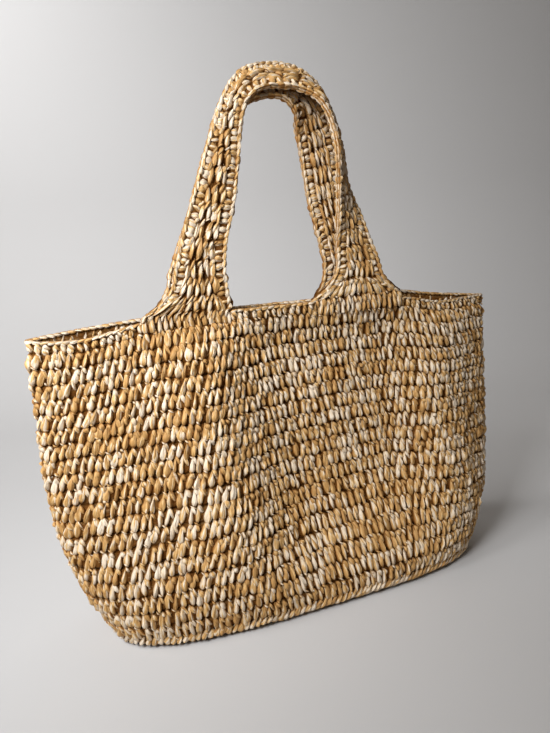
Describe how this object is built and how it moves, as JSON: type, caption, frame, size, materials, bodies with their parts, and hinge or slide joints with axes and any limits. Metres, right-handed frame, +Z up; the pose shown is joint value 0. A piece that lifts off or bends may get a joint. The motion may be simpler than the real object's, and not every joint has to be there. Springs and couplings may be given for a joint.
{
  "type": "crocheted beach bag",
  "caption": "Soft crocheted raffia beach tote with an oval base, a wide shallow mouth and broad shoulder straps that grow out of the rim and fold down.",
  "frame": {"origin": "middle of the base's underside, on the surface the bag stands on", "axes": "+X along the mouth to the right, +Y from the front strap to the back strap, +Z up"},
  "size_m": [0.4414, 0.1365, 0.4691],
  "materials": {
    "raffia_fabric": "satin",
    "raffia_edging": "satin"
  },
  "bodies": {
    "bag": {"base_panel": "raffia_fabric", "base_edge_round": "raffia_fabric", "wall": "raffia_fabric", "mouth_edging_left": "raffia_edging", "mouth_edging_right": "raffia_edging", "front_window_edging": "raffia_edging", "back_window_edging": "raffia_edging", "front_left_strap_root": "raffia_fabric", "front_right_strap_root": "raffia_fabric", "back_left_strap_root": "raffia_fabric", "back_right_strap_root": "raffia_fabric"},
    "front_strap": {"front_strap_band": "raffia_fabric", "front_strap_outer_edging": "raffia_edging", "front_strap_inner_edging": "raffia_edging"},
    "back_strap": {"back_strap_band": "raffia_fabric", "back_strap_outer_edging": "raffia_edging", "back_strap_inner_edging": "raffia_edging"}
  },
  "joints": [
    {"name": "front_strap_fold", "type": "hinge", "parent": "bag", "child": "front_strap", "pos_m": [0, -0.01342, 0.3], "axis": [1, 0, 0], "range_deg": [0, 140]},
    {"name": "back_strap_fold", "type": "hinge", "parent": "bag", "child": "back_strap", "pos_m": [0, 0.01342, 0.3], "axis": [-1, 0, 0], "range_deg": [0, 140]}
  ]
}
